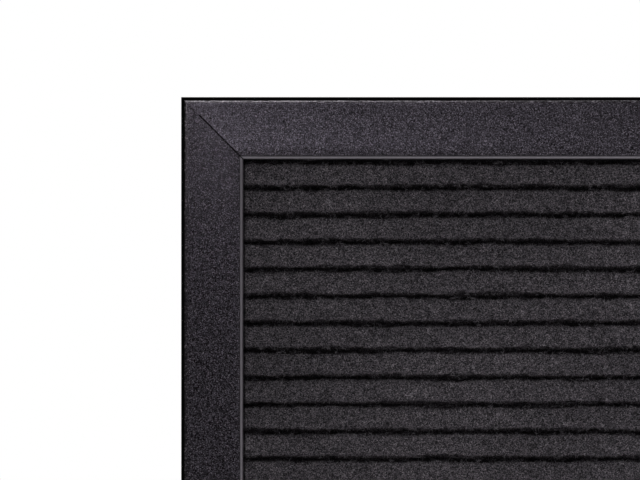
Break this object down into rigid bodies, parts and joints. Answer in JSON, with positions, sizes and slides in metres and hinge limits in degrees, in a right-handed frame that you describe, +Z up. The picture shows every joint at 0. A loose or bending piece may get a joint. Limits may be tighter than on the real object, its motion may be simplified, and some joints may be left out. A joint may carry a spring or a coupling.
{
  "type": "felt letter board",
  "caption": "Square felt letter board: a mitred, rounded frame with a lip over felt tucked into parallel grooves that hold letter tabs; it hangs from a toothed strip on its back.",
  "frame": {"origin": "on the plane of the lower edge, under the middle of the board's width and half way through its whole depth, hardware on the back included", "axes": "+X to the right as the board is read, +Y from the felt face to the back, +Z up"},
  "size_m": [0.254, 0.0206, 0.254],
  "materials": {
    "rail_foil": "wood-fibre moulding wrapped in finely textured black foil, satin",
    "felt": "short fuzzy black felt, fully matte",
    "plate_plastic": "matte black extruded plastic",
    "hardboard": "smooth brown hardboard",
    "steel": "zinc-plated sheet steel",
    "bumper_rubber": "soft black rubber, matte"
  },
  "bodies": {
    "root": {"frame_rail_bottom": "rail_foil", "frame_rail_right": "rail_foil", "frame_rail_top": "rail_foil", "frame_rail_left": "rail_foil", "felt_sheet": "felt", "groove_plate": "plate_plastic", "back_panel": "hardboard", "v_nail_bottom_left_outer": "steel", "v_nail_bottom_left_inner": "steel", "v_nail_bottom_right_outer": "steel", "v_nail_bottom_right_inner": "steel", "v_nail_top_right_outer": "steel", "v_nail_top_right_inner": "steel", "v_nail_top_left_outer": "steel", "v_nail_top_left_inner": "steel", "flexi_point_bottom_1": "steel", "flexi_point_bottom_2": "steel", "flexi_point_bottom_3": "steel", "flexi_point_right_1": "steel", "flexi_point_right_2": "steel", "flexi_point_right_3": "steel", "flexi_point_top_1": "steel", "flexi_point_top_2": "steel", "flexi_point_top_3": "steel", "flexi_point_left_1": "steel", "flexi_point_left_2": "steel", "flexi_point_left_3": "steel", "sawtooth_hanger": "steel", "hanger_nail_left": "steel", "hanger_nail_right": "steel", "bumper_left": "bumper_rubber", "bumper_right": "bumper_rubber"}
  },
  "joints": []
}
